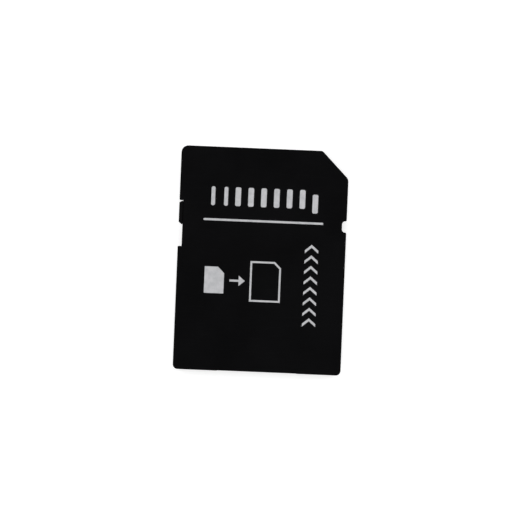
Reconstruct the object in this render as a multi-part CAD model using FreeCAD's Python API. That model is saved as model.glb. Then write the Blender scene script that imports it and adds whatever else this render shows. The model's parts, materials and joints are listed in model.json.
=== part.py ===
import FreeCAD, Part
import math
import os

# Memory card adapter: a full-size card shell, 24 by 32 by 2.1 mm, that takes a smaller card through
# a slot in its rear edge. Two moulded covers are welded together along a seam. Between them lie a
# moulded carrier with eight formed contact strips, a leaf spring that holds the small card by its
# side notch, and the write-protect slider, which runs in an opening in the left edge.
#
# Frame: +X to the right as seen from the front, +Y towards the contact end, +Z out of the front
# face. The origin is the middle of the footprint, on the back face. All sizes are in millimetres.

# Card outline
card_w = 24.0
card_l = 32.0
card_t = 2.1
corner_cut_x = 3.85
corner_cut_y = 3.9
front_left_r = 1.0
rear_corner_r = 0.7
cut_front_r = 0.5
cut_side_r = 0.9

# Edge rails: the back face steps in beside both long edges
rail_t = 1.4
ledge_w = 0.7

# Moulded walls of the two covers
floor_t = 0.4
roof_t = 0.35
side_wall = 1.2
front_wall = 0.4
rear_wall = 0.8
inner_corner_r = 0.3
rib_t = 0.6
back_edge_break = 0.15
front_edge_break = 0.12
rail_bevel = 0.12
leading_bevel = 0.35

# Seam between the covers, a narrow groove all round
seam_from_front = 0.7
seam_h = 0.1
seam_d = 0.07

# Side notch in the right edge
notch_from_front = 10.73
notch_w = 1.6
notch_depth = 0.64
notch_root_r = 0.44
notch_mouth_r = 0.18

# Opening of the write-protect slider in the left edge
lock_from_front = 7.86
lock_opening_l = 6.54
lock_depth = 0.55
lock_root_r = 0.05
lock_mouth_r = 0.18

# Write-protect slider
lock_tab_l = 3.44
lock_tab_t = 1.2
lock_tab_front_slant = 0.24
lock_tab_rear_slant = 0.38
lock_tab_r = 0.12
lock_travel = 3.0
lock_end_gap = 0.05
lock_play = 0.05
neck_setback = 0.1
neck_t = 0.4
flange_w = 0.45
flange_overhang = 0.3
arm_t = 0.2
arm_gap = 0.25
arm_root_l = 0.5
arm_end_gap = 0.5
nub_r = 0.2
detent_depth = 0.08
channel_wall = 0.3

# Small card that the adapter takes, and the tunnel for it
small_card_w = 11.0
small_card_l = 15.0
small_card_t = 0.7
small_card_lip_t = 1.0
small_card_lip_l = 1.6
card_play = 0.05
tunnel_play = 0.1
guide_t = 0.5
bed_rib_w = 0.8
bed_rib_x = (-4.4, -1.5, 1.5, 4.4)
hold_down_x = (-3.6, 3.6)
mouth_setback = 0.04
mouth_margin = 0.1
mouth_bevel = 0.15

# Contact strips, stamped from one sheet
sheet_t = 0.12
bend_r = 0.16
wide_pad_count = 7
first_pad_from_side = 2.625
last_pad_from_side = 2.25
narrow_pad_w = 1.4
pad_gap = 0.5
narrow_pad_gap = 0.3
middle_pad_gap = 0.725
pad_lap = 0.15
pad_from_front = 1.1
pad_l = 4.5
corner_pad_drop = 1.8
corner_pad_l = 4.1
pad_shoulder = 0.5
tab_rise = 0.25
tab_ramp = 0.2
tab_w = 0.9
tab_flat = 0.1
bridge_gap = 0.1
bridge_w = 0.2
trace_w = 0.45
trace_rise = 0.1
trace_lean = 0.96
joggle_ramp = 0.4
fan_rear_gap = 3.3
window_clip = 0.2

# Spring fingers at the rear end of the strips
finger_count = 8
finger_pitch = 1.1
finger_row_x = -0.65
contact_reach = 2.3
finger_lift = 0.2
finger_nose = 0.8
finger_nose_drop = 0.24
finger_bend_r = 0.5
finger_pocket_floor = 0.2
finger_pocket_margin = 0.5

# Contact carrier, moulded round the strips
step_rear_of_windows = 0.3
carrier_play = 0.08
carrier_from_channel = 0.12
plate_from_channel = 0.03
carrier_from_side = 0.4
bar_t = 0.19
peg_r = 0.6
peg_play = 0.05
peg_from_side = 1.5
peg_from_stop = 2.15
peg_head_gap = 0.1
punch_w = 0.5
punch_l = 0.8
punch_from_stop = 1.8

# Leaf spring beside the tunnel
leaf_t = 0.15
leaf_lift = 0.05
leaf_gap = 0.08
leaf_reach = 0.43
leaf_bump_from_stop = 7.75
leaf_bump_half_l = 1.6
leaf_root_l = 2.1
leaf_tail_l = 1.1
leaf_foot = 0.95
leaf_bend_r = 0.3
leaf_bump_r = 0.6
leaf_slot_play = 0.03
anchor_l = 1.0
anchor_w = 1.1

# Welding bosses
boss_w = 2.0
pin_r = 0.55
pin_play = 0.05
pin_end_gap = 0.15
rear_boss_from_rear = 2.3
middle_boss_from_stop = 1.7

# Press ribs of the front cover over the carrier
press_rib_count = 3
press_rib_from_stop = 3.0
press_rib_from_front = 4.95

# Marks printed on the front face, sunk flush in it
ink_t = 0.02
rule_left = -8.47
rule_right = 8.66
rule_from_front = 10.42
rule_w = 0.3
bar_count = 9
bar_pitch = 1.84
bar_w = 0.8
narrow_bar_w = 0.55
bar_h = 2.7
bar_clip = 0.15
bars_right = 7.8
bars_from_front = 5.7
first_bar_drop = 0.6
sign_y = -3.05
sign_line = 0.26
small_sign_x = -6.6
small_sign_w = 2.8
small_sign_l = 3.8
card_sign_x = 0.7
card_sign_w = 4.4
card_sign_l = 5.8
sign_cut = 0.9
arrow_left = -4.4
arrow_right = -2.2
arrow_head_l = 0.9
arrow_head_w = 1.5
arrow_shaft_w = 0.3
chevron_count = 8
chevron_pitch = 1.5
chevron_w = 1.9
chevron_rise = 0.8
chevron_line = 0.42
chevron_x = 7.15
chevron_rear_y = -9.2

# Places worked out from the sizes above
half_w = card_w / 2
half_l = card_l / 2
rail_z = card_t - rail_t
roof_z = card_t - roof_t
seam_z = card_t - seam_from_front
bed_z = roof_z - small_card_lip_t - card_play
hold_down_z = bed_z + small_card_t + 2 * card_play
tunnel_half_w = small_card_w / 2 + tunnel_play
stop_y = -half_l + small_card_l + card_play
lock_front = half_l - lock_from_front
lock_rear = lock_front - lock_opening_l
lock_x = -half_w + lock_depth
cavity_left = -half_w + side_wall
pad_z = rail_z
pad_top = pad_z + sheet_t
trace_z = floor_t + trace_rise
pad_front = half_l - pad_from_front
pad_rear = pad_front - pad_l
corner_pad_front = pad_front - corner_pad_drop
corner_pad_rear = corner_pad_front - corner_pad_l
step_y = min(pad_rear, corner_pad_rear) - step_rear_of_windows
bar_top = rail_z + bar_t
band_front = pad_rear - pad_lap
tip_y = stop_y - contact_reach - finger_nose
pocket_rear = tip_y - finger_pocket_margin
beyond = 1.0

# Pads: seven wide ones and two narrow ones fill the width between their side margins
pad_row_l = card_w - first_pad_from_side - last_pad_from_side
narrow_room = 3 * narrow_pad_w / 2 + middle_pad_gap + narrow_pad_gap
pad_pitch = (pad_row_l - narrow_room + pad_gap / 2) / (wide_pad_count - 0.5)
pad_w = pad_pitch - pad_gap
first_pad_x = half_w - first_pad_from_side
band_right = first_pad_x - pad_pitch / 2

# Places of the slider and of its channel
rail_middle_z = rail_z + rail_t / 2
tab_front = lock_front - lock_end_gap
tab_rear = tab_front - lock_tab_l
neck_rear = tab_rear + neck_setback
neck_front = tab_front - neck_setback
neck_low = rail_middle_z - neck_t / 2
neck_high = rail_middle_z + neck_t / 2
flange_rear = tab_rear - flange_overhang
flange_front = tab_front + flange_overhang
flange_low = rail_z + 3 * lock_play
flange_top = roof_z - lock_play
flange_left = cavity_left + lock_play
flange_right = flange_left + flange_w
arm_left = flange_right + arm_gap
arm_right = arm_left + arm_t
nub_y = flange_front - arm_end_gap - nub_r
channel_right = arm_right + nub_r + lock_play
channel_rear = flange_rear - lock_travel - lock_play
channel_front = flange_front + lock_play
channel_wall_right = channel_right + detent_depth + channel_wall

# Sides of the contact carrier and its pegs
carrier_left = channel_wall_right + carrier_from_channel
carrier_right = half_w - side_wall - carrier_from_side
peg_xs = (carrier_left + peg_from_side, carrier_right - peg_from_side)

# Places of the leaf spring and of its anchor
leaf_z = bed_z + leaf_lift
leaf_top = seam_z
leaf_x = tunnel_half_w + guide_t + leaf_gap + leaf_t / 2
bump_x = tunnel_half_w - leaf_reach + leaf_t / 2
bump_y = stop_y - leaf_bump_from_stop
leaf_root_y = bump_y - leaf_bump_half_l - leaf_root_l
anchor_left = leaf_x + leaf_t / 2 + leaf_bend_r
anchor_right = anchor_left + anchor_w

# Centres of the four welding bosses
boss_x = (tunnel_half_w + guide_t + half_w - side_wall) / 2
boss_rear_y = -half_l + rear_boss_from_rear
boss_middle_y = stop_y - middle_boss_from_stop
boss_places = [(x, y) for x in (-boss_x, boss_x) for y in (boss_rear_y, boss_middle_y)]

Vec = FreeCAD.Vector


def flat(z):
    """Placer for outlines drawn in plan, at height z."""
    return lambda x, y: Vec(x, y, z)


def upright(x):
    """Placer for sections drawn in the YZ plane, at x."""
    return lambda y, z: Vec(x, y, z)


def rounded_wire(corners, place):
    """Closed wire through corners (u, v, radius), each rounded by a tangent arc."""
    points = [Vec(u, v, 0) for u, v, radius in corners]
    arcs = []
    for i, corner in enumerate(points):
        radius = corners[i][2]
        back = (points[i - 1] - corner).normalize()
        ahead = (points[(i + 1) % len(points)] - corner).normalize()
        half_angle = back.getAngle(ahead) / 2
        inward = (back + ahead).normalize()
        reach = radius / math.tan(half_angle)
        middle = corner + inward * (radius / math.sin(half_angle) - radius)
        arcs.append((corner + back * reach, middle, corner + ahead * reach))
    edges = []
    for i, (start, middle, end) in enumerate(arcs):
        if corners[i][2] > 0:
            edges.append(Part.Arc(*[place(p.x, p.y) for p in (start, middle, end)]).toShape())
        following = arcs[(i + 1) % len(arcs)][0]
        if end.distanceToPoint(following) > 1e-6:
            edges.append(Part.LineSegment(place(end.x, end.y), place(following.x, following.y)).toShape())
    return Part.Wire(edges)


def prism(corners, z_low, z_high):
    """Solid of a rounded outline between two heights."""
    face = Part.Face(rounded_wire(corners, flat(z_low)))
    return face.extrude(Vec(0, 0, z_high - z_low))


def block(x_low, x_high, y_low, y_high, z_low, z_high):
    return Part.makeBox(x_high - x_low, y_high - y_low, z_high - z_low, Vec(x_low, y_low, z_low))


def post(x, y, radius, z_low, z_high):
    return Part.makeCylinder(radius, z_high - z_low, Vec(x, y, z_low))


def boss(x, y, z_low, z_high):
    """Square welding boss centred on (x, y)."""
    half = boss_w / 2
    return block(x - half, x + half, y - half, y + half, z_low, z_high)


def rectangle(x_low, x_high, y_low, y_high, radius):
    corners = [(x_low, y_low), (x_high, y_low), (x_high, y_high), (x_low, y_high)]
    return [(x, y, radius) for x, y in corners]


def clipped(x_low, x_high, y_low, y_high, clip):
    """Rectangle with its four corners cut off."""
    return [
        (x_low, y_low + clip, 0),
        (x_low + clip, y_low, 0),
        (x_high - clip, y_low, 0),
        (x_high, y_low + clip, 0),
        (x_high, y_high - clip, 0),
        (x_high - clip, y_high, 0),
        (x_low + clip, y_high, 0),
        (x_low, y_high - clip, 0),
    ]


def cross_wedge(y, z, dy, dz, x_low, x_high):
    """Three-cornered bar across the card with its square corner at (y, z), for bevels."""
    corners = [(y, z, 0), (y + dy, z, 0), (y, z + dz, 0)]
    return Part.Face(rounded_wire(corners, upright(x_low))).extrude(Vec(x_high - x_low, 0, 0))


def long_wedge(x, z, dx, dz):
    """Three-cornered bar along the card with its square corner at (x, z), for bevels."""
    corners = [(x, z, 0), (x + dx, z, 0), (x, z + dz, 0)]
    section = Part.Face(rounded_wire(corners, lambda u, v: Vec(u, -half_l, v)))
    return section.extrude(Vec(0, card_l, 0))


def side_of(start, end):
    """Unit vector to the left of the run from start to end."""
    run = Vec(end[0] - start[0], end[1] - start[1], 0).normalize()
    return Vec(-run.y, run.x, 0)


def strip_corners(path, width):
    """Outline of a strip of constant width along an open path of points (u, v, bend radius or 0)."""
    last = len(path) - 1
    left = []
    right = []
    for i, (u, v, bend) in enumerate(path):
        before = side_of(path[max(i - 1, 0)], path[max(i, 1)])
        after = side_of(path[min(i, last - 1)], path[min(i + 1, last)])
        mitre = (before + after) * (width / 2 / (1 + before.dot(after)))
        inner = bend - width / 2
        outer = bend + width / 2
        if i in (0, last) or bend == 0:
            inner = outer = 0
        if before.cross(after).z < 0:
            inner, outer = outer, inner
        left.append((u + mitre.x, v + mitre.y, inner))
        right.append((u - mitre.x, v - mitre.y, outer))
    return left + right[::-1]


def edges_at(shape, z):
    return [e for e in shape.Edges if abs(e.BoundBox.ZMin - z) < 1e-6 and abs(e.BoundBox.ZMax - z) < 1e-6]


def cut_line(x=None, y=None, inset=0.0):
    """Where the slanted corner, drawn in by inset, crosses the line at x or the line at y."""
    level = corner_cut_y * half_w + corner_cut_x * (half_l - corner_cut_y)
    level -= inset * math.hypot(corner_cut_x, corner_cut_y)
    if x is None:
        return (level - corner_cut_x * y) / corner_cut_y
    return (level - corner_cut_y * x) / corner_cut_x


def body_corners(side, front, rear):
    """The card's plain outline, drawn in from its edges by these distances."""
    left = -half_w + side
    right = half_w - side
    back = -half_l + rear
    top = half_l - front
    drawn_in = max(side, front, rear)
    cut_rs = [max(radius - drawn_in, inner_corner_r) for radius in (cut_side_r, cut_front_r)]
    rear_r = max(rear_corner_r - drawn_in, inner_corner_r)
    left_r = max(front_left_r - drawn_in, inner_corner_r)
    return [
        (left, back, rear_r),
        (right, back, rear_r),
        (right, cut_line(x=right, inset=front), cut_rs[0]),
        (cut_line(y=top, inset=front), top, cut_rs[1]),
        (left, top, left_r),
    ]


def edge_corners(inset=0.0):
    """The outline at the card's edges, with side notch and slider opening, drawn in by inset."""
    left, right = -half_w + inset, half_w - inset
    back, top = -half_l + inset, half_l - inset
    notch_y = half_l - notch_from_front
    notch_half = notch_w / 2 + inset
    notch_x = right - notch_depth
    root_r = min(notch_root_r, notch_depth - notch_mouth_r)
    opening_x = left + lock_depth
    return [
        (left, back, rear_corner_r - inset),
        (right, back, rear_corner_r - inset),
        (right, notch_y - notch_half, notch_mouth_r - inset),
        (notch_x, notch_y - notch_half, root_r + inset),
        (notch_x, notch_y + notch_half, root_r + inset),
        (right, notch_y + notch_half, notch_mouth_r - inset),
        (right, cut_line(x=right, inset=inset), cut_side_r - inset),
        (cut_line(y=top, inset=inset), top, cut_front_r - inset),
        (left, top, front_left_r - inset),
        (left, lock_front + inset, lock_mouth_r - inset),
        (opening_x, lock_front + inset, lock_root_r + inset),
        (opening_x, lock_rear - inset, lock_root_r + inset),
        (left, lock_rear - inset, lock_mouth_r - inset),
    ]


def cavity(z_low, z_high, play=0.0):
    """The space between the outer walls of the covers."""
    return prism(body_corners(side_wall + play, front_wall + play, rear_wall + play), z_low, z_high)


def lock_slider():
    """Write-protect slider: outer tab, neck through the wall, inner flange and its detent arm."""
    tab_x = lock_x - lock_play
    tab = prism(
        [
            (-half_w, tab_rear + lock_tab_rear_slant, lock_tab_r),
            (tab_x, tab_rear, 0),
            (tab_x, tab_front, 0),
            (-half_w, tab_front - lock_tab_front_slant, lock_tab_r),
        ],
        rail_middle_z - lock_tab_t / 2,
        rail_middle_z + lock_tab_t / 2,
    )
    neck = block(tab_x, flange_left, neck_rear, neck_front, neck_low, neck_high)
    flange = block(flange_left, flange_right, flange_rear, flange_front, flange_low, flange_top)
    root = block(flange_right, arm_right, flange_rear, flange_rear + arm_root_l, flange_low, flange_top)
    arm = block(arm_left, arm_right, flange_rear, nub_y + nub_r, flange_low, flange_top)
    nub = post(arm_right, nub_y, nub_r, flange_low, flange_top)
    nub = nub.common(block(arm_left, channel_right, flange_rear, flange_front, flange_low, flange_top))
    return tab.fuse([neck, flange, root, arm, nub]).removeSplitter()


def channel_block(z_low, z_high, gap=0.0):
    """The slider's channel with its walls, all solid, grown by gap."""
    rear = channel_rear - channel_wall - gap
    front = channel_front + channel_wall + gap
    return block(cavity_left, channel_wall_right + gap, rear, front, z_low, z_high)


def lock_channel(z_low, z_high):
    """Walls round the slider's inner flange, with a detent at each end of its travel."""
    walls = channel_block(z_low, z_high)
    cuts = [block(cavity_left - beyond, channel_right, channel_rear, channel_front, z_low, z_high)]
    for shift in (0, lock_travel):
        cuts.append(post(arm_right, nub_y - shift, nub_r + lock_play + detent_depth, z_low, z_high))
    return walls.cut(cuts)


def lock_slit():
    """Slit in the side wall for the slider's neck."""
    rear = neck_rear - lock_travel - lock_end_gap
    front = neck_front + lock_end_gap
    low, high = neck_low - lock_play, neck_high + lock_play
    return block(lock_x - beyond, cavity_left + beyond, rear, front, low, high)


def leaf_plan(z_low, z_high, play=0.0):
    """The leaf spring's plan: foot, straight root, bump towards the tunnel and free tail."""
    path = [
        (leaf_x + leaf_foot, leaf_root_y, 0),
        (leaf_x, leaf_root_y, leaf_bend_r),
        (leaf_x, bump_y - leaf_bump_half_l, leaf_bend_r),
        (bump_x, bump_y, leaf_bump_r),
        (leaf_x, bump_y + leaf_bump_half_l, leaf_bend_r),
        (leaf_x, bump_y + leaf_bump_half_l + leaf_tail_l, 0),
    ]
    return prism(strip_corners(path, leaf_t + 2 * play), z_low, z_high)


def leaf_anchor(z_low, z_high):
    """Block that holds the foot of the leaf spring."""
    rear = leaf_root_y - anchor_l / 2
    return block(anchor_left, anchor_right, rear, rear + anchor_l, z_low, z_high)


def leaf_window(z_low, z_high):
    """Window in the tunnel's right wall for the spring's bump."""
    half_window = leaf_bump_half_l + leaf_gap
    outside = tunnel_half_w + guide_t
    return block(tunnel_half_w - beyond, outside, bump_y - half_window, bump_y + half_window, z_low, z_high)


def pads():
    """The nine pads as (centre x, width, rear y, front y), from the cut corner across."""
    centres = [first_pad_x - i * pad_pitch for i in range(wide_pad_count)]
    centres.append(centres[-1] - pad_w / 2 - middle_pad_gap - narrow_pad_w / 2)
    centres.append(centres[-1] - narrow_pad_w - narrow_pad_gap)
    widths = [pad_w] * wide_pad_count + [narrow_pad_w] * 2
    rears = [corner_pad_rear] + [pad_rear] * 8
    fronts = [corner_pad_front] + [pad_front] * 8
    return list(zip(centres, widths, rears, fronts))


def pad_window(x, width, rear):
    """Window in the back cover under one pad, open at the leading edge."""
    half = width / 2 - pad_lap
    corners = [
        (x - half, rear + window_clip, 0),
        (x - half + window_clip, rear, 0),
        (x + half - window_clip, rear, 0),
        (x + half, rear + window_clip, 0),
        (x + half, half_l + beyond, 0),
        (x - half, half_l + beyond, 0),
    ]
    return prism(corners, -beyond, pad_z)


def leading_bar(z_low, z_high, gap=0.0):
    """Lip of the back cover in front of the pads' front ends."""
    first_x, first_width, first_rear, first_front = pads()[0]
    across = block(-half_w, half_w, pad_front + tab_ramp - gap, half_l, z_low, z_high)
    beside = first_x - pad_pitch / 2 - gap
    corner = block(beside, half_w, first_front + tab_ramp - gap, half_l, z_low, z_high)
    return across.fuse(corner)


def trace_band(play):
    """Shallow step behind the pads' windows, where the traces run in."""
    band = block(-half_w, band_right - play, step_y + play, band_front - play, pad_z, pad_top)
    return band.common(cavity(pad_z, pad_top, play))


def formed_sheet(front):
    """The bent sheet of the strips, right across the card, for pads that end at front."""
    middle = sheet_t / 2
    path = [
        (half_l, pad_z + tab_rise + middle, 0),
        (front + tab_ramp, pad_z + tab_rise + middle, bend_r),
        (front, pad_z + middle, bend_r),
        (step_y - joggle_ramp / 2, pad_z + middle, bend_r),
        (step_y - 3 * joggle_ramp / 2, trace_z + middle, bend_r),
        (stop_y, trace_z + middle, finger_bend_r),
        (stop_y - contact_reach, bed_z + finger_lift - middle, finger_bend_r),
        (tip_y, bed_z + finger_lift - middle - finger_nose_drop, 0),
    ]
    section = Part.Face(rounded_wire(strip_corners(path, sheet_t), upright(-half_w)))
    return section.extrude(Vec(card_w, 0, 0))


def pad_plan(x, width, rear, front):
    """Plan of one pad with its shoulder behind and its tab in front."""
    lap_rear = rear - pad_lap
    tab_end = front + tab_ramp + tab_flat
    join = x * trace_lean
    corners = [
        (x - tab_w / 2, front, 0),
        (x - width / 2, front, 0),
        (x - width / 2, lap_rear, 0),
        (join - trace_w / 2, lap_rear - pad_shoulder, 0),
        (join + trace_w / 2, lap_rear - pad_shoulder, 0),
        (x + width / 2, lap_rear, 0),
        (x + width / 2, front, 0),
        (x + tab_w / 2, front, 0),
        (x + tab_w / 2, tab_end, 0),
        (x - tab_w / 2, tab_end, 0),
    ]
    return prism(corners, 0, card_t)


def trace_plan(pad_x, rear, finger_x):
    """Plan of the run from a pad back to its spring finger."""
    join = pad_x * trace_lean
    path = [
        (finger_x, tip_y - beyond, 0),
        (finger_x, stop_y + fan_rear_gap, 0),
        (join, rear - pad_lap - pad_shoulder, 0),
        (join, rear, 0),
    ]
    return prism(strip_corners(path, trace_w), 0, card_t)


def bridge_plan(from_x, to_x):
    """Plan of the bridge that joins the two ground pads in front of the pads between them."""
    low = pad_front + tab_ramp + tab_flat + bridge_gap
    left, right = sorted((from_x, to_x))
    bar = block(left - tab_w / 2, right + tab_w / 2, low, low + bridge_w, 0, card_t)
    legs = [block(x - tab_w / 2, x + tab_w / 2, pad_front, low, 0, card_t) for x in (left, right)]
    return bar.fuse(legs)


def finger_x(number):
    """Centre of a spring finger, counted from the right."""
    return finger_row_x + ((finger_count - 1) / 2 - number) * finger_pitch


def contact_strips():
    """The eight strips by name. The ground strip carries two pads, joined by a bridge in front."""
    signals = ["data2", "data3", "command", None, "supply", "clock", "ground", "data0", "data1"]
    joined = pads()[signals.index(None)]
    strips = {}
    for signal, (x, width, rear, front) in zip(signals, pads()):
        if signal is None:
            continue
        plan = pad_plan(x, width, rear, front).fuse(trace_plan(x, rear, finger_x(len(strips))))
        if signal == "ground":
            plan = plan.fuse([pad_plan(*joined), bridge_plan(x, joined[0])])
        strips["contact_" + signal] = formed_sheet(front).common(plan).removeSplitter()
    return strips


def contact_carrier(strips):
    """Moulded body round the strips: a plate over the pads and a thicker block behind them."""
    room = cavity(floor_t, seam_z, carrier_play)
    over_pads = room.common(block(-half_w, half_w, step_y + carrier_play, half_l, pad_top, seam_z))
    over_pads = over_pads.cut(leading_bar(0, bar_top, carrier_play))
    behind = block(carrier_left, carrier_right, stop_y, step_y - carrier_play, floor_t, seam_z)
    joint = block(carrier_left, carrier_right, step_y - beyond, step_y + beyond, pad_top, seam_z)
    body = over_pads.fuse([behind, joint, trace_band(carrier_play)])
    cuts = [post(x, stop_y + peg_from_stop, peg_r + peg_play, 0, card_t) for x in peg_xs]
    cuts.append(channel_block(0, card_t, plate_from_channel))
    punch_rear = stop_y + punch_from_stop
    for number in range(finger_count - 1):
        x = finger_x(number) - finger_pitch / 2
        cuts.append(block(x - punch_w / 2, x + punch_w / 2, punch_rear, punch_rear + punch_l, 0, card_t))
    return body.cut(cuts + list(strips.values())).removeSplitter()


def tunnel_guides(z_low, z_high):
    """Walls on both sides of the small card's tunnel."""
    rear = -half_l + rear_wall
    outside = tunnel_half_w + guide_t
    return [
        block(-outside, -tunnel_half_w, rear, stop_y, z_low, z_high),
        block(tunnel_half_w, outside, rear, stop_y, z_low, z_high),
    ]


def bay_ribs(z_low, z_high):
    """Cross ribs in the two bays beside the tunnel."""
    inner = tunnel_half_w + guide_t
    outer = half_w - side_wall
    span = (boss_middle_y - boss_rear_y) / 3
    ribs = []
    for y, left, right in (
        (boss_rear_y + span, -outer, -inner),
        (boss_rear_y + 2 * span, -outer, -inner),
        (boss_rear_y + 2 * span, anchor_right, outer),
    ):
        ribs.append(block(left, right, y - rib_t / 2, y + rib_t / 2, z_low, z_high))
    return ribs


def mouth_setback_cut():
    """Slight set-back of the rear edge round the tunnel's mouth."""
    half_mouth = tunnel_half_w + mouth_margin
    return block(-half_mouth, half_mouth, -half_l - beyond, -half_l + mouth_setback, -beyond, card_t + beyond)


def back_cover():
    """Back cover: floor with the contact windows, edge rails, tunnel bed and slider channel."""
    body = prism(body_corners(ledge_w, 0, 0), 0, rail_z)
    body = body.makeChamfer(back_edge_break, edges_at(body, 0))
    groove_z = seam_z - seam_h / 2
    edge = prism(edge_corners(), rail_z, groove_z)
    shell = body.fuse([edge, prism(edge_corners(seam_d), groove_z, seam_z)])

    hollows = [
        cavity(floor_t, seam_z).common(block(-half_w, half_w, -half_l, step_y, 0, card_t)),
        cavity(pad_top, seam_z).common(block(-half_w, half_w, step_y, half_l, 0, card_t)),
        trace_band(0),
    ]
    for x, width, rear, front in pads():
        hollows.append(block(x - width / 2, x + width / 2, step_y, front + tab_ramp, pad_z, pad_top))
    shell = shell.cut(hollows)

    inside = [leading_bar(rail_z, bar_top).common(cavity(rail_z, bar_top))]
    inside += tunnel_guides(floor_t, seam_z) + bay_ribs(floor_t, seam_z)
    inside += [lock_channel(floor_t, seam_z), leaf_anchor(floor_t, seam_z)]
    inside.append(block(
        cavity_left, channel_right + detent_depth, channel_rear, channel_front,
        floor_t, flange_low - lock_play,
    ))
    inside.append(block(
        -tunnel_half_w, tunnel_half_w, -half_l + rear_wall, -half_l + 2 * rear_wall, floor_t, bed_z,
    ))
    for x in bed_rib_x:
        inside.append(block(
            x - bed_rib_w / 2, x + bed_rib_w / 2, -half_l + rear_wall, pocket_rear, floor_t, bed_z,
        ))
    for x in peg_xs:
        inside.append(post(x, stop_y + peg_from_stop, peg_r, floor_t, seam_z - peg_head_gap))
    for x, y in boss_places:
        inside.append(boss(x, y, floor_t, seam_z))
    shell = shell.fuse(inside)

    cuts = [pad_window(x, width, rear) for x, width, rear, front in pads()]
    cuts += [post(x, y, pin_r + pin_play, floor_t + pin_end_gap, seam_z) for x, y in boss_places]
    cuts.append(block(
        -tunnel_half_w, tunnel_half_w, -half_l - beyond, -half_l + 2 * rear_wall, bed_z, seam_z,
    ))
    cuts.append(mouth_setback_cut())
    cuts.append(cross_wedge(
        -half_l + mouth_setback, bed_z, mouth_bevel, -mouth_bevel, -tunnel_half_w, tunnel_half_w,
    ))
    cuts += [leaf_window(bed_z, seam_z), leaf_plan(leaf_z, seam_z, leaf_slot_play), lock_slit()]
    pocket_half = finger_count * finger_pitch / 2
    cuts.append(block(
        finger_row_x - pocket_half, finger_row_x + pocket_half, pocket_rear, stop_y,
        finger_pocket_floor, seam_z,
    ))
    cuts.append(cross_wedge(half_l, 0, -leading_bevel, leading_bevel, -half_w, half_w))
    for side in (-1, 1):
        cuts.append(long_wedge(side * half_w, rail_z, -side * rail_bevel, rail_bevel))
    return shell.cut(cuts).removeSplitter()


def front_cover(print_marks):
    """Front cover: the plain label side, with the ribs, pins and guides inside it."""
    groove_z = seam_z + seam_h / 2
    body = prism(edge_corners(), groove_z, card_t)
    body = body.makeChamfer(front_edge_break, edges_at(body, card_t))
    shell = body.fuse(prism(edge_corners(seam_d), seam_z, groove_z)).cut(cavity(seam_z, roof_z))

    inside = tunnel_guides(seam_z, roof_z) + bay_ribs(seam_z, roof_z)
    inside += [lock_channel(seam_z, roof_z), leaf_anchor(leaf_top, roof_z)]
    for x in hold_down_x:
        rear = -half_l + small_card_lip_l + card_play
        inside.append(block(x - bed_rib_w / 2, x + bed_rib_w / 2, rear, stop_y, hold_down_z, roof_z))
    first_rib_y = stop_y + press_rib_from_stop
    rib_pitch = (half_l - press_rib_from_front - first_rib_y) / (press_rib_count - 1)
    for number in range(press_rib_count):
        y = first_rib_y + number * rib_pitch
        inside.append(block(carrier_left, carrier_right, y - rib_t / 2, y + rib_t / 2, seam_z, roof_z))
    for x, y in boss_places:
        inside.append(boss(x, y, seam_z, roof_z))
        inside.append(post(x, y, pin_r, floor_t + 2 * pin_end_gap, roof_z))
    shell = shell.fuse(inside)

    cuts = [mouth_setback_cut(), lock_slit(), leaf_window(seam_z, seam_z + leaf_gap)]
    cuts.append(block(
        -tunnel_half_w, tunnel_half_w, -half_l - beyond, -half_l + small_card_lip_l, seam_z, roof_z,
    ))
    cuts.append(cross_wedge(
        -half_l + mouth_setback, roof_z, mouth_bevel, mouth_bevel, -tunnel_half_w, tunnel_half_w,
    ))
    return shell.cut(cuts + print_marks).removeSplitter()


def ink(corners):
    return prism(corners, card_t - ink_t, card_t)


def printed_marks():
    """Films of ink on the front face: rule, bar row, card signs with an arrow, and chevrons."""
    rule_y = half_l - rule_from_front
    marks = [ink(rectangle(rule_left, rule_right, rule_y - rule_w / 2, rule_y + rule_w / 2, rule_w / 2))]

    for i in range(bar_count):
        width = bar_w if i < bar_count - 2 else narrow_bar_w
        right = bars_right - i * bar_pitch
        top = half_l - bars_from_front - (first_bar_drop if i == 0 else 0)
        marks.append(ink(clipped(right - width, right, top - bar_h, top, bar_clip)))

    marks.append(card_sign(small_sign_x, small_sign_w, small_sign_l, 0))
    full_size = card_sign(card_sign_x, card_sign_w, card_sign_l, 0)
    marks += full_size.cut(card_sign(card_sign_x, card_sign_w, card_sign_l, sign_line)).Solids
    neck_x = arrow_right - arrow_head_l
    marks.append(ink([
        (arrow_left, sign_y - arrow_shaft_w / 2, 0),
        (neck_x, sign_y - arrow_shaft_w / 2, 0),
        (neck_x, sign_y - arrow_head_w / 2, 0),
        (arrow_right, sign_y, 0),
        (neck_x, sign_y + arrow_head_w / 2, 0),
        (neck_x, sign_y + arrow_shaft_w / 2, 0),
        (arrow_left, sign_y + arrow_shaft_w / 2, 0),
    ]))

    for i in range(chevron_count):
        low = chevron_rear_y + i * chevron_pitch
        left, right = chevron_x - chevron_w / 2, chevron_x + chevron_w / 2
        marks.append(ink([
            (left, low, 0),
            (chevron_x, low + chevron_rise, 0),
            (right, low, 0),
            (right, low + chevron_line, 0),
            (chevron_x, low + chevron_rise + chevron_line, 0),
            (left, low + chevron_line, 0),
        ]))
    return marks


def card_sign(x, width, length, inset):
    """Picture of a card with one corner cut, drawn in from its edge by inset."""
    left, right = x - width / 2 + inset, x + width / 2 - inset
    low, high = sign_y - length / 2 + inset, sign_y + length / 2 - inset
    cut = sign_cut - inset * (2 - math.sqrt(2))
    return ink([
        (left, low, 0),
        (right, low, 0),
        (right, high - cut, 0),
        (right - cut, high, 0),
        (left, high, 0),
    ])


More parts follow.
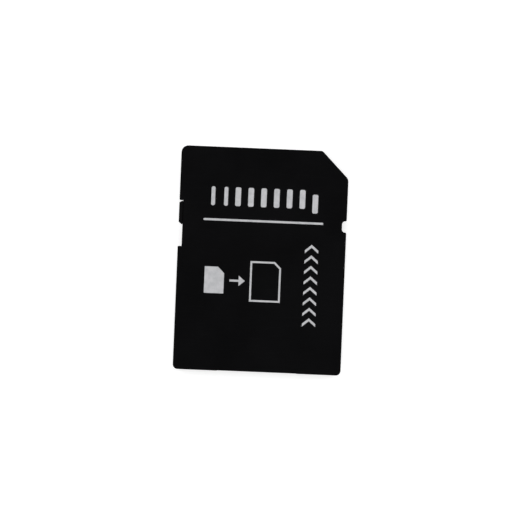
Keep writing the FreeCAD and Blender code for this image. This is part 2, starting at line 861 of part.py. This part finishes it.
def main():
    strips = contact_strips()
    marks = printed_marks()
    pieces = {
        "front_cover": front_cover(marks),
        "back_cover": back_cover(),
        "lock_slider": lock_slider(),
        "card_spring": leaf_plan(leaf_z, leaf_top),
        "contact_carrier": contact_carrier(strips),
        "front_print": Part.makeCompound(marks),
    }
    pieces.update(strips)
    os.makedirs("parts", exist_ok=True)
    for name, shape in pieces.items():
        solids = shape.Solids
        box = shape.BoundBox
        print(
            f"{name}: {len(solids)} solid, valid {shape.isValid()}, {shape.Volume:.3f} mm3,"
            f" x {box.XMin:.2f} {box.XMax:.2f} y {box.YMin:.2f} {box.YMax:.2f}"
            f" z {box.ZMin:.2f} {box.ZMax:.2f}"
        )
        (solids[0] if len(solids) == 1 else shape).exportStep(f"parts/{name}.step")


main()
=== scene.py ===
import json
import math

import bmesh
import bpy
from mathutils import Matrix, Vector

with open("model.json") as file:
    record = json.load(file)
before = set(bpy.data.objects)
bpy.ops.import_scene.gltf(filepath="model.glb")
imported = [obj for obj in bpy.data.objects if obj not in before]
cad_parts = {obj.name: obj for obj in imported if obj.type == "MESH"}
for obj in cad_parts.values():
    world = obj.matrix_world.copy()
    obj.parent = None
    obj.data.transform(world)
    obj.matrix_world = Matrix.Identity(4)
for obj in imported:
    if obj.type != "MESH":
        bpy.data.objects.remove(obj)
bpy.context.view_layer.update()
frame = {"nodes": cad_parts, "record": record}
nodes = frame["nodes"]

MM = 0.001
CARD_THICK = 2.1 * MM
PHOTO_WIDTH_PX = 522
PX_PER_MM = 7.0
PHOTO_TURN = math.radians(2.38)
CARD_OFF_CENTRE_PX = (0.08, 0.6)
CAMERA_HEIGHT = 1.0
SENSOR_WIDTH_MM = 36.0
NEAREST_SEEN = 0.01
FURTHEST_SEEN = 10.0

PLASTIC_SPECULAR = 0.026
INK_SPECULAR = 0.3

FLOOR_SIZE = 3.0
FLOOR_BELOW_CARD = 0.02 * MM
FLOOR_GREY = 0.56
FLOOR_GLOW = 0.7
LIGHT_FROM_AROUND = 0.22
WHITE_WHERE_SEEN = 1.0

SOFTBOX_ELEVATION = 42
SOFTBOX_DISTANCE = 0.6
SOFTBOX_SIZE = 0.3
# Name, azimuth from +X in degrees, power in watts
SOFTBOXES = (
    ("left", 160, 1.1),
    ("right", 20, 1.0),
    ("front", 265, 0.98),
    ("rear", 85, 0.92),
)


class Finish:
    """One procedural finish, built node by node from the card's own coordinates."""

    def __init__(self, name, roughness, metallic=0.0, specular=0.5):
        self.material = bpy.data.materials.new(name)
        self.material.use_nodes = True
        self.tree = self.material.node_tree
        self.shader = self.tree.nodes["Principled BSDF"]
        self.shader.inputs["Metallic"].default_value = metallic
        self.shader.inputs["Roughness"].default_value = roughness
        self.shader.inputs["Specular IOR Level"].default_value = specular
        self.place = self.add("ShaderNodeTexCoord").outputs["Object"]

    def add(self, kind, **settings):
        node = self.tree.nodes.new(kind)
        for setting, value in settings.items():
            setattr(node, setting, value)
        return node

    def link(self, output, input_socket):
        self.tree.links.new(output, input_socket)

    def grain(self, size, detail, stretch=(1, 1, 1), turn=0.0):
        """Noise whose features measure about size, in metres, drawn out along an axis by stretch."""
        mapping = self.add("ShaderNodeMapping")
        mapping.inputs["Scale"].default_value = [1 / s for s in stretch]
        mapping.inputs["Rotation"].default_value = (0, 0, turn)
        self.link(self.place, mapping.inputs["Vector"])
        noise = self.add("ShaderNodeTexNoise")
        noise.inputs["Scale"].default_value = 1 / size
        noise.inputs["Detail"].default_value = detail
        self.link(mapping.outputs["Vector"], noise.inputs["Vector"])
        return noise.outputs["Fac"]

    def spread(self, value, low, high, from_low=0.3, from_high=0.7):
        """The value, which runs about from_low to from_high, laid out from low to high."""
        ranged = self.add("ShaderNodeMapRange")
        ranged.inputs["From Min"].default_value = from_low
        ranged.inputs["From Max"].default_value = from_high
        ranged.inputs["To Min"].default_value = low
        ranged.inputs["To Max"].default_value = high
        self.link(value, ranged.inputs["Value"])
        return ranged.outputs["Result"]

    def colours(self, value, first, second, low=0.35, high=0.65):
        """Colour that goes from first to second as the value goes from low to high."""
        ramp = self.add("ShaderNodeValToRGB")
        ramp.color_ramp.elements[0].position = low
        ramp.color_ramp.elements[1].position = high
        ramp.color_ramp.elements[0].color = (*first, 1)
        ramp.color_ramp.elements[1].color = (*second, 1)
        self.link(value, ramp.inputs["Fac"])
        return ramp.outputs["Color"]

    def mix(self, share, first, second):
        """First colour, with second over it by share."""
        mixed = self.add("ShaderNodeMix", data_type="RGBA")
        self.link(share, mixed.inputs["Factor"])
        self.link(first, mixed.inputs["A"])
        self.link(second, mixed.inputs["B"])
        return mixed.outputs["Result"]

    def sum(self, first, second):
        added = self.add("ShaderNodeMath", operation="ADD")
        self.link(first, added.inputs[0])
        self.link(second, added.inputs[1])
        return added.outputs["Value"]

    def times(self, first, factor):
        scaled = self.add("ShaderNodeMath", operation="MULTIPLY")
        self.link(first, scaled.inputs[0])
        scaled.inputs[1].default_value = factor
        return scaled.outputs["Value"]

    def colour(self, value):
        self.link(value, self.shader.inputs["Base Color"])

    def roughness(self, value):
        self.link(value, self.shader.inputs["Roughness"])

    def relief(self, height, depth, strength):
        """Bump of the given height signal, depth in metres from 0 to 1."""
        bump = self.add("ShaderNodeBump")
        bump.inputs["Distance"].default_value = depth
        bump.inputs["Strength"].default_value = strength
        self.link(height, bump.inputs["Height"])
        self.link(bump.outputs["Normal"], self.shader.inputs["Normal"])

    def scratches(self, turn, length=4 * MM, width=0.04 * MM):
        """Sparse fine scratches that run one way: 0 on clean surface, 1 in a scratch."""
        lines = self.grain(width, detail=1.0, stretch=(length / width, 1, 1), turn=turn)
        return self.spread(lines, 0, 1, from_low=0.68, from_high=0.74)


def black_plastic(name, dark, light, sheen_rough, spark_depth):
    """Moulded black plastic: fine spark texture, faint flow clouds, hairline scratches from use."""
    scuffs_show = 0.12
    scuffs_smooth = 0.1
    scuffs_sink = 0.4
    sheen_swing = 0.05
    finish = Finish(name, roughness=0.55, specular=PLASTIC_SPECULAR)
    clouds = finish.grain(7 * MM, detail=4)
    specks = finish.grain(0.09 * MM, detail=2)
    scuffs = finish.sum(finish.scratches(turn=0.5), finish.scratches(turn=-0.9, length=3 * MM))
    finish.colour(finish.mix(
        finish.times(scuffs, scuffs_show),
        finish.colours(clouds, dark, light),
        finish.colours(specks, (0.012, 0.012, 0.013), (0.022, 0.022, 0.023)),
    ))
    finish.roughness(finish.sum(
        finish.spread(clouds, sheen_rough - sheen_swing, sheen_rough + sheen_swing),
        finish.times(scuffs, -scuffs_smooth),
    ))
    finish.relief(finish.sum(specks, finish.times(scuffs, -scuffs_sink)), spark_depth, strength=0.5)
    return finish.material


def printing_ink():
    """Light grey screen ink: slightly uneven cover, a few pinholes, a fine surface grain."""
    pinholes_show = 0.5
    finish = Finish("light_grey_ink", roughness=0.6, specular=INK_SPECULAR)
    cover = finish.grain(0.6 * MM, detail=4)
    pinholes = finish.spread(finish.grain(0.07 * MM, detail=1), 0, 1, from_low=0.7, from_high=0.78)
    finish.colour(finish.mix(
        finish.times(pinholes, pinholes_show),
        finish.colours(cover, (0.47, 0.475, 0.49), (0.56, 0.56, 0.575)),
        finish.colours(cover, (0.15, 0.15, 0.155), (0.2, 0.2, 0.205)),
    ))
    finish.roughness(finish.spread(cover, 0.55, 0.68))
    finish.relief(finish.grain(0.05 * MM, detail=2), 0.004 * MM, strength=0.4)
    return finish.material


def gold_plate():
    """Gold-plated contact metal: rolled grain along the strip, soft tarnish, wiping marks."""
    wiping_shows = 0.35
    rolling_roughens = 0.08
    finish = Finish("gold_plated_contact", roughness=0.28, metallic=1.0)
    rolled = finish.grain(0.05 * MM, detail=3, stretch=(1, 30, 1))
    tarnish = finish.grain(1.6 * MM, detail=4)
    wiped = finish.scratches(turn=math.pi / 2, length=2.5 * MM, width=0.05 * MM)
    finish.colour(finish.mix(
        finish.times(wiped, wiping_shows),
        finish.colours(tarnish, (0.94, 0.66, 0.24), (0.84, 0.55, 0.17)),
        finish.colours(rolled, (0.96, 0.73, 0.34), (1.0, 0.8, 0.42)),
    ))
    finish.roughness(finish.sum(
        finish.spread(tarnish, 0.2, 0.32),
        finish.times(finish.spread(rolled, 0, 1), rolling_roughens),
    ))
    finish.relief(rolled, 0.003 * MM, strength=0.3)
    return finish.material


def spring_steel():
    """Bright rolled stainless strip with a drawn grain."""
    finish = Finish("rolled_stainless", roughness=0.3, metallic=1.0)
    drawn = finish.grain(0.04 * MM, detail=3, stretch=(1, 40, 1))
    clouds = finish.grain(1.2 * MM, detail=3)
    finish.colour(finish.colours(clouds, (0.5, 0.49, 0.47), (0.62, 0.61, 0.59)))
    finish.roughness(finish.spread(drawn, 0.24, 0.4))
    finish.relief(drawn, 0.003 * MM, strength=0.3)
    return finish.material


FINISHES = {
    "cover_plastic": black_plastic(
        "black_cover_plastic", (0.001, 0.001, 0.0012), (0.002, 0.002, 0.0023), 0.52, 0.006 * MM
    ),
    "slider_plastic": black_plastic(
        "black_slider_plastic", (0.0015, 0.0015, 0.0017), (0.0028, 0.0028, 0.0031), 0.44, 0.003 * MM
    ),
    "carrier_plastic": black_plastic(
        "black_carrier_plastic", (0.006, 0.006, 0.0062), (0.01, 0.01, 0.0104), 0.5, 0.003 * MM
    ),
    "print_ink": printing_ink(),
    "contact_metal": gold_plate(),
    "spring_steel": spring_steel(),
}


def dress_nodes():
    """Each piece of the card gets the finish of its material slot."""
    for subpart in frame["record"]["subparts"]:
        mesh = nodes[subpart["node"]].data
        mesh.materials.clear()
        mesh.materials.append(FINISHES[subpart["material_slot"]])


def direct_view(tree):
    """1 where this surface is seen by the camera, in a reflection or through something clear, else 0."""
    path = tree.nodes.new("ShaderNodeLightPath")
    value = path.outputs["Is Camera Ray"]
    for ray in ("Is Glossy Ray", "Is Transmission Ray"):
        either = tree.nodes.new("ShaderNodeMath")
        either.operation = "MAXIMUM"
        tree.links.new(value, either.inputs[0])
        tree.links.new(path.outputs[ray], either.inputs[1])
        value = either.outputs["Value"]
    return value


def studio_floor():
    """Pale floor under the card, white to the camera, which keeps a soft shadow. It is clear from below."""
    material = bpy.data.materials.new("pale_floor")
    material.use_nodes = True
    tree = material.node_tree
    tree.nodes.clear()
    paper = tree.nodes.new("ShaderNodeBsdfDiffuse")
    paper.inputs["Color"].default_value = (FLOOR_GREY, FLOOR_GREY, FLOOR_GREY, 1)
    glow = tree.nodes.new("ShaderNodeEmission")
    glow.inputs["Color"].default_value = (1, 1, 1, 1)
    seen = direct_view(tree)
    strength = tree.nodes.new("ShaderNodeMath")
    strength.operation = "MULTIPLY"
    strength.inputs[1].default_value = FLOOR_GLOW
    both = tree.nodes.new("ShaderNodeAddShader")
    clear = tree.nodes.new("ShaderNodeBsdfTransparent")
    side = tree.nodes.new("ShaderNodeNewGeometry")
    from_above = tree.nodes.new("ShaderNodeMixShader")
    output = tree.nodes.new("ShaderNodeOutputMaterial")
    tree.links.new(seen, strength.inputs[0])
    tree.links.new(strength.outputs["Value"], glow.inputs["Strength"])
    tree.links.new(paper.outputs["BSDF"], both.inputs[0])
    tree.links.new(glow.outputs["Emission"], both.inputs[1])
    tree.links.new(side.outputs["Backfacing"], from_above.inputs["Fac"])
    tree.links.new(both.outputs["Shader"], from_above.inputs[1])
    tree.links.new(clear.outputs["BSDF"], from_above.inputs[2])
    tree.links.new(from_above.outputs["Shader"], output.inputs["Surface"])

    sheet = bmesh.new()
    bmesh.ops.create_grid(sheet, x_segments=1, y_segments=1, size=FLOOR_SIZE)
    bmesh.ops.translate(sheet, verts=sheet.verts, vec=(0, 0, -FLOOR_BELOW_CARD))
    mesh = bpy.data.meshes.new("floor")
    sheet.to_mesh(mesh)
    sheet.free()
    mesh.materials.append(material)
    floor = bpy.data.objects.new("floor", mesh)
    bpy.context.scene.collection.objects.link(floor)


def studio_world():
    """Even surroundings that light the card dimly, and are white to the camera and in reflections."""
    world = bpy.data.worlds.new("studio")
    world.use_nodes = True
    tree = world.node_tree
    background = tree.nodes["Background"]
    background.inputs["Color"].default_value = (1, 1, 1, 1)
    ranged = tree.nodes.new("ShaderNodeMapRange")
    ranged.inputs["To Min"].default_value = LIGHT_FROM_AROUND
    ranged.inputs["To Max"].default_value = WHITE_WHERE_SEEN
    tree.links.new(direct_view(tree), ranged.inputs["Value"])
    tree.links.new(ranged.outputs["Result"], background.inputs["Strength"])
    bpy.context.scene.world = world


def softbox(name, azimuth, power):
    """Square soft light above the floor, aimed at the card from an azimuth in degrees from +X."""
    lamp = bpy.data.lights.new(name, "AREA")
    lamp.shape = "SQUARE"
    lamp.size = SOFTBOX_SIZE
    lamp.energy = power
    light = bpy.data.objects.new(name, lamp)
    flat = math.cos(math.radians(SOFTBOX_ELEVATION)) * SOFTBOX_DISTANCE
    light.location = (
        math.cos(math.radians(azimuth)) * flat,
        math.sin(math.radians(azimuth)) * flat,
        math.sin(math.radians(SOFTBOX_ELEVATION)) * SOFTBOX_DISTANCE,
    )
    light.rotation_euler = (-light.location).to_track_quat("-Z", "Y").to_euler()
    bpy.context.scene.collection.objects.link(light)


def studio_lights():
    for name, azimuth, power in SOFTBOXES:
        softbox("softbox_" + name, azimuth, power)


def photo_camera():
    """Camera straight above the front face, turned as the card lies in the photograph."""
    lens = bpy.data.cameras.new("photo_camera")
    lens.sensor_width = SENSOR_WIDTH_MM
    field = PHOTO_WIDTH_PX / PX_PER_MM * MM
    lens.lens = lens.sensor_width * CAMERA_HEIGHT / field
    lens.clip_start = NEAREST_SEEN
    lens.clip_end = FURTHEST_SEEN
    camera = bpy.data.objects.new("photo_camera", lens)
    metres_per_px = MM / PX_PER_MM
    right = Vector((math.cos(PHOTO_TURN), math.sin(PHOTO_TURN), 0))
    up = Vector((-math.sin(PHOTO_TURN), math.cos(PHOTO_TURN), 0))
    centre = -right * CARD_OFF_CENTRE_PX[0] * metres_per_px - up * CARD_OFF_CENTRE_PX[1] * metres_per_px
    camera.location = centre + Vector((0, 0, CARD_THICK + CAMERA_HEIGHT))
    camera.rotation_euler = (0, 0, PHOTO_TURN)
    bpy.context.scene.collection.objects.link(camera)
    bpy.context.scene.camera = camera


dress_nodes()
studio_floor()
studio_world()
studio_lights()
photo_camera()
bpy.context.scene.view_settings.view_transform = "Standard"
